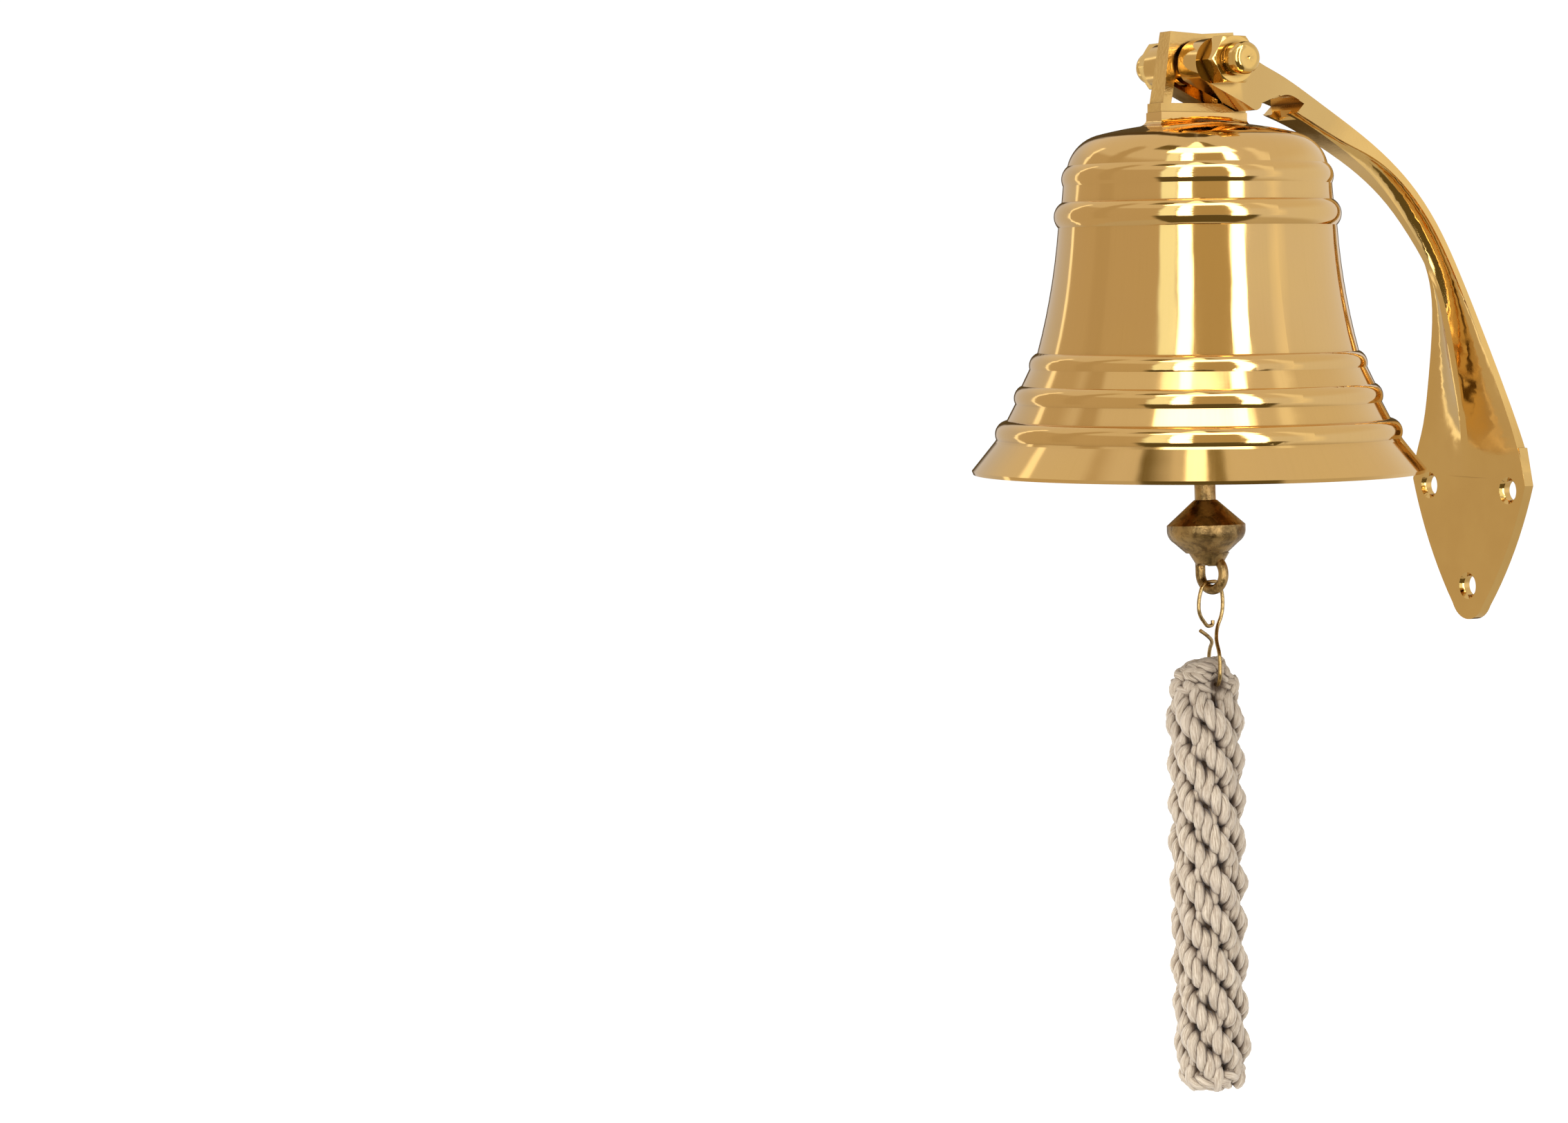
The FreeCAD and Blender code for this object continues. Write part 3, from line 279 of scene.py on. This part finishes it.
def polished_brass():
    """Turned and buffed: fine rings round the bell's axis, faint streaks down it, rare pits."""
    material, graph, shader = new_material("polished_brass")
    place = graph.node("ShaderNodeTexCoord").outputs["Object"]
    centred = graph.node("ShaderNodeVectorMath", {0: place, 1: AXIS + Vector((0, 0, LIP))},
                         operation="SUBTRACT").outputs[0]
    split = graph.node("ShaderNodeSeparateXYZ", {"Vector": centred})
    around = graph.math("ARCTAN2", split.outputs["Y"], split.outputs["X"])
    height = split.outputs["Z"]
    rings_at = graph.node("ShaderNodeCombineXYZ", {"X": graph.math("MULTIPLY", around, 0.4),
                                                   "Y": 0.0,
                                                   "Z": graph.math("MULTIPLY", height, 1600.0)})
    rings = graph.noise(rings_at.outputs[0], 1.0, 2.0, 0.7)
    streak_at = graph.node("ShaderNodeCombineXYZ", {"X": graph.math("MULTIPLY", around, 60.0),
                                                    "Y": 0.0,
                                                    "Z": graph.math("MULTIPLY", height, 34.0)})
    streaks = graph.noise(streak_at.outputs[0], 1.0, 4.0, 0.65)
    haze = graph.noise(place, 38.0, 4.0, 0.6)
    tint = brass_tint(graph, place, ((0.79, 0.535, 0.205), (0.77, 0.52, 0.215)), 14.0)
    tint = graph.mix(graph.step(streaks, 0.45, 0.75, 0.0, 0.35), tint, rgb(0.74, 0.50, 0.19))
    shade = graph.math("ADD", graph.ramp(haze, 0.3, 0.7, 0.035, 0.085),
                       graph.ramp(streaks, 0.35, 0.7, 0.0, 0.035))
    pits = graph.node("ShaderNodeTexVoronoi", {"Vector": place, "Scale": 52.0,
                                               "Randomness": 1.0}, feature="F1")
    rare = graph.noise(place, 23.0, 1.0)
    pit = graph.math("MULTIPLY", graph.step(pits.outputs["Distance"], 0.018, 0.03, 1.0, 0.0),
                     graph.step(rare, 0.60, 0.64))
    tint = graph.mix(pit, tint, rgb(0.16, 0.08, 0.03))
    # Painted shade: the colour is darkened in the grooves where ambient occlusion finds them
    # hollow.
    tint = paint_groove_shade(graph, tint, 0.0028, 0.8)
    normal = graph.bump(rings, 0.035, 0.00002)
    normal = graph.bump(graph.noise(place, 11.0, 1.0), 0.05, 0.0012, normal)
    normal = graph.bump(pit, 0.5, -0.0002, normal)
    graph.feed(shader.inputs["Base Color"], tint)
    graph.feed(shader.inputs["Metallic"], 1.0)
    graph.feed(shader.inputs["Roughness"], shade)
    graph.feed(shader.inputs["Normal"], normal)
    return material


def metal(name, tones, roughness, grain, wave, spots=None):
    """Cast or machined brass. tones are the two drifting tones, roughness its low and high value,
    grain the (scale, strength, depth) of its fine bump, wave the same for its slow undulation,
    spots the colour of the dark patches that a noise scatters over it."""
    material, graph, shader = new_material(name)
    place = graph.node("ShaderNodeTexCoord").outputs["Object"]
    tint = brass_tint(graph, place, tones, 45.0)
    haze = graph.noise(place, 130.0, 4.0, 0.6)
    if spots is not None:
        worn = graph.noise(place, 210.0, 5.0, 0.7, 0.6)
        tint = graph.mix(graph.step(worn, 0.42, 0.64, 0.0, 0.8), tint, rgb(*spots))
    # Painted shade: the colour is darkened in the grooves where ambient occlusion finds them
    # hollow.
    tint = paint_groove_shade(graph, tint, 0.0022, 0.7)
    normal = graph.bump(graph.noise(place, grain[0], 4.0, 0.65), grain[1], grain[2])
    normal = graph.bump(graph.noise(place, wave[0], 2.0), wave[1], wave[2], normal)
    graph.feed(shader.inputs["Base Color"], tint)
    graph.feed(shader.inputs["Metallic"], 1.0)
    graph.feed(shader.inputs["Roughness"], graph.ramp(haze, 0.3, 0.7, *roughness))
    graph.feed(shader.inputs["Normal"], normal)
    return material


def cotton():
    """Twisted cotton: fibres along each ply, with painted shade that turns the depths dark brown
    and leaves the crowns pale.
    """
    material, graph, shader = new_material("lanyard_cotton")
    coordinates = graph.node("ShaderNodeTexCoord")
    along = coordinates.outputs["UV"]
    place = coordinates.outputs["Object"]
    fibres = graph.noise(graph.stretched(along, (26.0, 2.2, 1.0)), 1.0, 4.0, 0.7, 0.4)
    fuzz = graph.noise(place, 2600.0, 3.0, 0.7)
    stain = graph.noise(place, 160.0, 3.0, 0.6)
    tint = graph.mix(graph.step(fibres, 0.30, 0.72), rgb(0.25, 0.185, 0.125),
                     rgb(0.62, 0.53, 0.41))
    tint = graph.mix(graph.step(stain, 0.35, 0.7, 0.0, 0.45), tint, rgb(0.40, 0.33, 0.26))
    # Painted shade: ambient occlusion turns the cotton's depths dark brown.
    hollow = graph.node("ShaderNodeAmbientOcclusion", {"Distance": 0.005}, samples=6)
    tint = graph.mix(graph.step(hollow.outputs["AO"], 0.30, 0.90, 0.95, 0.0), tint,
                     rgb(0.085, 0.048, 0.024))
    normal = graph.bump(fibres, 0.55, 0.0004)
    normal = graph.bump(fuzz, 0.25, 0.0002, normal)
    graph.feed(shader.inputs["Base Color"], tint)
    graph.feed(shader.inputs["Roughness"], 0.82)
    graph.feed(shader.inputs["Specular IOR Level"], 0.25)
    graph.feed(shader.inputs["Sheen Weight"], 0.25)
    graph.feed(shader.inputs["Sheen Roughness"], 0.5)
    graph.feed(shader.inputs["Normal"], normal)
    return material


FINISHES = {
    "polished_brass": polished_brass(),
    "cast_brass": metal("cast_brass", ((0.77, 0.53, 0.195), (0.71, 0.48, 0.18)), (0.10, 0.22),
                        (900.0, 0.25, 0.0003), (120.0, 0.12, 0.0008)),
    "bracket_brass": metal("bracket_brass", ((0.77, 0.53, 0.20), (0.74, 0.50, 0.185)),
                           (0.05, 0.13), (700.0, 0.05, 0.0002), (34.0, 0.10, 0.0020)),
    "hardware_brass": metal("hardware_brass", ((0.80, 0.56, 0.20), (0.76, 0.51, 0.17)),
                            (0.05, 0.14), (1500.0, 0.08, 0.0001), (160.0, 0.08, 0.0006)),
    "aged_brass": metal("aged_brass", ((0.52, 0.36, 0.16), (0.36, 0.24, 0.10)), (0.20, 0.42),
                        (1100.0, 0.35, 0.0004), (220.0, 0.35, 0.0010), (0.11, 0.07, 0.03)),
    "wire_brass": metal("wire_brass", ((0.62, 0.46, 0.22), (0.46, 0.33, 0.14)), (0.16, 0.34),
                        (1700.0, 0.2, 0.0002), (300.0, 0.1, 0.0004), (0.20, 0.13, 0.05)),
    "lanyard_cotton": cotton(),
}


def finish_nodes():
    """Each CAD piece takes the finish of its material slot; the bracket has a cast one."""
    for part in frame["record"]["subparts"]:
        name = part["node"]
        finish = "bracket_brass" if name == "bracket" else part["material_slot"]
        for own in nodes[name].material_slots:
            own.material = FINISHES[finish]


def soften_edges(name, width):
    """A small bevel on the sharp edges of a CAD piece."""
    piece = nodes[name]
    weld = piece.modifiers.new("weld", "WELD")
    weld.merge_threshold = 0.00001
    bevel = piece.modifiers.new("bevel", "BEVEL")
    bevel.width = width
    bevel.segments = 2
    bevel.limit_method = "ANGLE"
    bevel.angle_limit = math.radians(32)
    bevel.use_clamp_overlap = True
    bevel.harden_normals = False
    normals = piece.modifiers.new("normals", "WEIGHTED_NORMAL")
    normals.keep_sharp = False


# ---------------------------------------------------------------- lanyard

# The lanyard's own frame: its axis is local Z, the hook passes along local X through its hole.
HOOK_DIRECTION = math.radians(-20.5)
LANYARD_LEAN = math.radians(1.0)
HOLE_OFFSET = 3.5 * MM
HOLE_HEIGHT = LIP - 71.4 * MM
LENGTH = 147.6 * MM
TOP = 8.8 * MM               # above the hole
BOTTOM = TOP - LENGTH
OUTER = 12.9 * MM            # how far the plait reaches from its axis
CORE_INSET = 5.795 * MM      # from the plait's outside to the core's face
CORE_TOP = 13.0 * MM         # from the lanyard's top to the core's
CORE_FOOT = 4.0 * MM         # from the lanyard's foot to the core's
PLIES = 3
PLY_RADIUS = 0.262           # of the cord's diameter
PLY_OFFSET = 0.24            # a ply's centre from the cord's, of the same
FIBRE_RATE = 120             # what a metre along a ply adds to its UV
CLAPPER_LEAN = math.radians(2.8)
EYE_DROP = 119.4 * MM        # below the clapper's hinge
HOOK_ASIDE = 0.8 * MM        # the hook's lower loop, beside its upper one
HOOK_BACK = 1.8 * MM         # from the bell's axis towards the wall
HOOK_POINT = AXIS + Vector((
    EYE_DROP * math.sin(CLAPPER_LEAN) - HOOK_ASIDE * math.sin(HOOK_DIRECTION),
    HOOK_BACK + HOOK_ASIDE * math.cos(HOOK_DIRECTION), HOLE_HEIGHT))


def lanyard_matrix():
    """From the lanyard's own frame, with its hole at (0, HOLE_OFFSET, 0), to the row frame."""
    turn = Matrix.Rotation(HOOK_DIRECTION, 4, "Z") @ Matrix.Rotation(LANYARD_LEAN, 4, "X")
    return (Matrix.Translation(HOOK_POINT) @ turn
            @ Matrix.Translation(Vector((0, -HOLE_OFFSET, 0))))


class Yarn:
    """A mesh being built from round plies, with a UV that runs round and along each ply."""

    def __init__(self):
        self.places = []
        self.faces = []
        self.coordinates = []

    def tube(self, line, radii, sides=8):
        """A closed tube along the line, with a radius at each of its points."""
        first = len(self.places)
        normal = Vector((0, 0, 1)).cross(line[1] - line[0])
        if normal.length < 1e-9:
            normal = Vector((1, 0, 0))
        run = 0.0
        runs = []
        for number, point in enumerate(line):
            before = line[max(number - 1, 0)]
            after = line[min(number + 1, len(line) - 1)]
            along = (after - before).normalized()
            normal = (normal - along * normal.dot(along)).normalized()
            across = along.cross(normal)
            run += (point - before).length
            runs.append(run)
            for side in range(sides):
                turn = 2 * math.pi * side / sides
                offset = normal * math.cos(turn) + across * math.sin(turn)
                self.places.append(point + offset * radii[number])
        for number in range(len(line) - 1):
            for side in range(sides):
                after = (side + 1) % sides
                base = first + number * sides
                self.faces.append((base + side, base + after, base + sides + after,
                                   base + sides + side))
                left, right = side / sides, (side + 1) / sides
                low, high = runs[number] * FIBRE_RATE, runs[number + 1] * FIBRE_RATE
                self.coordinates.append(((left, low), (right, low), (right, high), (left, high)))
        for ring, backward in ((first, True), (first + (len(line) - 1) * sides, False)):
            cap = [ring + side for side in range(sides)]
            self.faces.append(tuple(reversed(cap)) if backward else tuple(cap))
            self.coordinates.append(tuple((0.5, 0.5) for _ in cap))

    def cord(self, line, diameter, twist, phase, sides=8):
        """Plies laid round the line, one turn every twist metres."""
        frames = []
        normal = Vector((0.31, 0.22, 0.92))      # any direction that no cord starts along
        run = 0.0
        for number, point in enumerate(line):
            before = line[max(number - 1, 0)]
            after = line[min(number + 1, len(line) - 1)]
            along = (after - before).normalized()
            normal = (normal - along * normal.dot(along)).normalized()
            run += (point - before).length
            frames.append((point, normal.copy(), along.cross(normal), run))
        for ply in range(PLIES):
            route = []
            radii = []
            for point, normal, across, run in frames:
                turn = 2 * math.pi * (run / twist + ply / PLIES) + phase
                swell = 1 + 0.10 * math.sin(run * 900 + ply * 2.1 + phase)
                outward = normal * math.cos(turn) + across * math.sin(turn)
                route.append(point + outward * diameter * PLY_OFFSET)
                radii.append(diameter * PLY_RADIUS * swell)
            self.tube(route, radii, sides)

    def mesh(self, name):
        mesh = bpy.data.meshes.new(name)
        mesh.from_pydata([tuple(place) for place in self.places], [], self.faces)
        layer = mesh.uv_layers.new(name="along")
        corner = 0
        for loops in self.coordinates:
            for pair in loops:
                layer.data[corner].uv = pair
                corner += 1
        mesh.polygons.foreach_set("use_smooth", [True] * len(mesh.polygons))
        mesh.update()
        return mesh


def ease(amount):
    """A smooth step for an amount from 0 to 1."""
    return amount * amount * (3 - 2 * amount)


def dome(part):
    """The width of a half round at a part, from 0 to 1, of the way down from its tip."""
    return math.sqrt(max(0.0, 1 - (1 - part) ** 2))


def envelope(height):
    """(half width along X, half width along Y) of the plait's outside at a height."""
    up = TOP - height
    down = height - BOTTOM
    top_round = 16.0 * MM
    bottom_round = 10.0 * MM
    width = OUTER
    if up < top_round:
        width = OUTER * dome(up / top_round)
    if down < bottom_round:
        width = min(width, OUTER * (0.45 + 0.55 * dome(down / bottom_round)))
    pinched = 5.6 * MM
    opened = ease(min(1.0, max(0.0, (up - 9.0 * MM) / (10.0 * MM))))
    thin = min(width, pinched + (OUTER - pinched) * opened)
    return thin, width


def plait(yarn, rng):
    """A round plait. The cords that go down to the right lie proud as long ridges; those that go
    down to the left run deep behind them and show in the gaps."""
    cords = 6
    crossing = 6.9 * MM
    start = TOP - 7.5 * MM
    end = BOTTOM + 3.0 * MM
    step = 0.8 * MM
    count = int((start - end) / step)
    for way, thick, depth, swing in ((1, 7.3 * MM, 0.2 * MM, 0.7 * MM),
                                     (-1, 5.6 * MM, 2.3 * MM, 1.0 * MM)):
        for number in range(cords):
            phase = 2 * math.pi * number / cords + 0.25
            ply_phase = rng.uniform(0, 2 * math.pi)
            drift = rng.uniform(-0.05, 0.05)
            line = []
            for index in range(count + 1):
                height = start - (start - end) * index / count
                level = (start - height) / crossing
                turn = way * math.pi * level / cords + phase + drift
                inset = thick / 2 + depth - way * swing * math.cos(math.pi * level)
                jitter = noise.noise(Vector((number * 7.1 + way, level * 0.9, 3.3))) * 0.6 * MM
                thin, wide = envelope(height)
                x = (thin - min(inset, thin * 0.75) + jitter) * math.cos(turn)
                y = (wide - min(inset, wide * 0.75) + jitter) * math.sin(turn)
                line.append(Vector((x, y, height)))
            yarn.cord(line, thick, way * 14.0 * MM, ply_phase)


def crown_wraps(yarn, rng):
    """The turns that close the plait's top, pinched thin where the hook goes through them."""
    for drop, thick, tilt in ((2.9, 5.4, 0.9), (6.2, 5.2, -0.8), (9.4, 5.0, 1.0)):
        thin, wide = envelope(TOP - drop * MM)
        start = rng.uniform(0, 6.2)
        line = []
        for index in range(73):
            turn = 2 * math.pi * index / 72 + start
            wander = noise.noise(Vector((2.2 * math.cos(turn), 2.2 * math.sin(turn), drop)))
            height = TOP - drop * MM + (tilt * math.sin(turn) + 0.8 * wander) * MM
            line.append(Vector(((thin - thick * 0.46 * MM) * math.cos(turn),
                                (wide - thick * 0.46 * MM) * math.sin(turn), height)))
        yarn.cord(line, thick * MM, 10.0 * MM, rng.uniform(0, 6.2), sides=10)
    for offset in (-2.3, 1.9):
        line = []
        for index in range(25):
            turn = math.pi * (index / 24 - 0.5)
            line.append(Vector((offset * MM, 6.4 * MM * math.sin(turn),
                                TOP - (6.0 - 3.5 * math.cos(turn)) * MM)))
        yarn.cord(line, 5.0 * MM, 10.0 * MM, rng.uniform(0, 6.2), sides=10)
    for y, top, radius in ((-6.6, 7.0, 3.2), (-2.4, 4.2, 3.4), (2.4, 4.2, 3.4), (6.6, 7.0, 3.2)):
        line = [Vector((0, y * MM, TOP - (top + index * 1.5) * MM)) for index in range(9)]
        yarn.tube(line, [radius * MM] * 9, 12)


def open_hole(yarn):
    """Presses the yarn back round the hook on each side of the hole, which leaves a dark dimple."""
    for index, place in enumerate(yarn.places):
        away = math.hypot(place.y - HOLE_OFFSET, (place.z - 0.2 * MM) * 0.8)
        if away < 3.0 * MM and abs(place.x) > 1.6 * MM:
            press = ease(1 - max(0.0, (away - 1.2 * MM) / (1.8 * MM)))
            depth = 1.6 * MM + (abs(place.x) - 1.6 * MM) * (1 - press)
            yarn.places[index] = Vector((math.copysign(depth, place.x), place.y, place.z))


def foot_wrap(yarn, rng):
    """The turns that close the plait at its foot, and the tucked ends under them."""
    for level, reach, thick in ((5.6, 8.9, 5.4), (3.3, 6.0, 5.4)):
        line = []
        for index in range(61):
            turn = 2 * math.pi * index / 60
            wander = (0.7 * math.sin(2 * turn + level) + 0.9 * math.sin(turn)) * MM
            line.append(Vector((reach * MM * math.cos(turn), reach * MM * math.sin(turn),
                                BOTTOM + level * MM + wander)))
        yarn.cord(line, thick * MM, 12.0 * MM, rng.uniform(0, 6.2))
    for side in (-2.4, 2.4):
        line = [Vector((side * MM, (-5.6 + index * 0.45) * MM,
                        BOTTOM + (3.6 - 0.9 * math.sin(math.pi * index / 20)) * MM))
                for index in range(21)]
        yarn.cord(line, 5.0 * MM, 11.0 * MM, 1.0 + side)


def core(yarn):
    """The heart of the plait, which closes the gaps between the cords."""
    line = []
    radii = []
    for index in range(61):
        height = TOP - CORE_TOP - (LENGTH - CORE_TOP - CORE_FOOT) * index / 60
        thin, wide = envelope(height)
        line.append(Vector((0, 0, height)))
        radii.append(max(1.0 * MM, min(thin, wide) - CORE_INSET))
    yarn.tube(line, radii, 20)


def make_lanyard():
    rng = random.Random(11)
    yarn = Yarn()
    core(yarn)
    plait(yarn, rng)
    crown_wraps(yarn, rng)
    foot_wrap(yarn, rng)
    open_hole(yarn)
    mesh = yarn.mesh("lanyard_plait")
    mesh.materials.append(FINISHES["lanyard_cotton"])
    matrix = lanyard_matrix()
    mesh.transform(matrix)
    piece = bpy.data.objects.new("lanyard_plait", mesh)
    collection.objects.link(piece)
    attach(piece, "lanyard")
    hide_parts("lanyard")


# ---------------------------------------------------------------- the scene

make_camera()
make_world()
make_light("key", azimuth=-38, elevation=46, distance=1.6, size=0.7, watts=21)
make_light("fill", azimuth=62, elevation=30, distance=1.9, size=1.4, watts=4)
make_light("top", azimuth=0, elevation=86, distance=1.8, size=2.6, watts=14)
make_floor()
finish_nodes()
for name, width in (("bracket", 0.5), ("crown_yoke", 0.35), ("cap_nuts", 0.2),
                    ("clapper_staple", 0.3), ("clapper_rod", 0.2)):
    soften_edges(name, width * MM)
make_lanyard()
bpy.context.scene.view_settings.view_transform = "Standard"
bpy.context.scene.cycles.use_denoising = True
